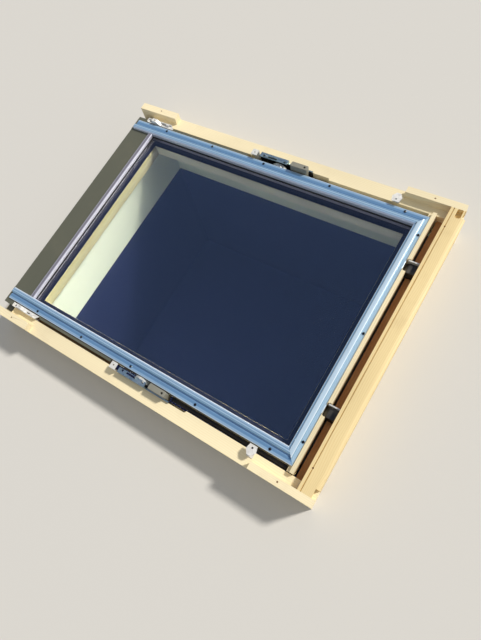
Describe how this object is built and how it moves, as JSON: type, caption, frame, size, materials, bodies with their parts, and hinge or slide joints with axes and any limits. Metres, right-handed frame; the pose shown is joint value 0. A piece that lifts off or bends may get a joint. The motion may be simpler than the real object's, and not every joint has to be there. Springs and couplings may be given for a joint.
{
  "type": "roof window",
  "caption": "Centre-pivot roof window: pine frame and sash, double glazing, folded metal claddings, friction hinges, locks and a ventilation flap with a control bar.",
  "frame": {"origin": "middle of the frame's underside, at the centre of its outline", "axes": "+X towards the head of the window, +Y towards the far jamb, +Z outdoors, away from the room"},
  "size_m": [0.98, 0.78, 0.105],
  "materials": {
    "pine": "planed, clear lacquered, satin",
    "pine_end": "sawn end grain and raw wood",
    "cladding_blue": "extruded, coated, semi-gloss",
    "cladding_grey": "coated sheet, satin",
    "zinc": "zinc plated sheet steel",
    "zinc_blue": "blue passivated zinc plate",
    "black_screw": "black coated, glossy",
    "zinc_screw": "zinc plated",
    "glass": "clear float glass, polished",
    "spacer": "rolled, satin",
    "sealant": "cured polysulphide, matt",
    "rubber": "extruded rubber, matt",
    "foam": "closed cell foam, matt",
    "black_plastic": "moulded, slightly textured",
    "grey_plastic": "moulded, satin",
    "bar": "extruded, anodised"
  },
  "bodies": {
    "frame": {"jamb_near": "pine", "jamb_far": "pine", "head": "pine", "sill": "pine", "sill_sheet": "cladding_grey", "sill_gasket": "foam", "corner_pins": "pine_end", "stop_laths": "pine_end", "hinge_frames": "zinc_blue", "brake_boxes": "grey_plastic", "hinge_screws": "zinc_screw", "mid_lugs": "zinc", "upper_lugs": "zinc", "lower_brackets": "zinc", "bracket_screws": "zinc_screw", "corner_screws": "zinc_screw", "keeper_blocks": "black_plastic", "keeper_plates": "zinc", "keeper_screws": "zinc_screw"},
    "sash": {"stile_near": "pine", "stile_far": "pine", "bottom_rail": "pine", "top_rail": "pine", "inner_pane": "glass", "outer_pane": "glass", "glass_spacer": "spacer", "edge_sealant": "sealant", "glazing_tape": "foam", "glazing_gasket": "rubber", "setting_blocks": "black_plastic", "side_cladding_near": "cladding_blue", "side_cladding_far": "cladding_blue", "top_cladding": "cladding_blue", "bottom_cladding": "cladding_grey", "cladding_screws": "black_screw", "seal_strips": "cladding_grey", "side_gaskets": "rubber", "hinge_rings": "zinc", "ring_screws": "zinc_screw", "flap_ears": "zinc", "ear_screws": "zinc_screw"},
    "flap": {"vent_flap": "bar", "flap_seal": "foam", "flap_caps": "grey_plastic"},
    "tongues": {"lock_tongues": "zinc"}
  },
  "joints": [
    {"name": "sash_pivot", "type": "hinge", "parent": "frame", "child": "sash", "pos_m": [0.005, 0, 0.064], "axis": [0, 1, 0], "range_deg": [0, 160]},
    {"name": "control_bar", "type": "hinge", "parent": "sash", "child": "flap", "pos_m": [0.396, 0, 0.035], "axis": [0, 1, 0], "range_deg": [-20, 12]},
    {"name": "lock_tongue_slide", "type": "slide", "parent": "sash", "child": "tongues", "axis": [1, 0, 0], "range_m": [-0.0067, 0.0111]}
  ],
  "couplings": [
    {"joint": "lock_tongue_slide", "follows": "control_bar", "m_per_rad": -0.0315}
  ]
}
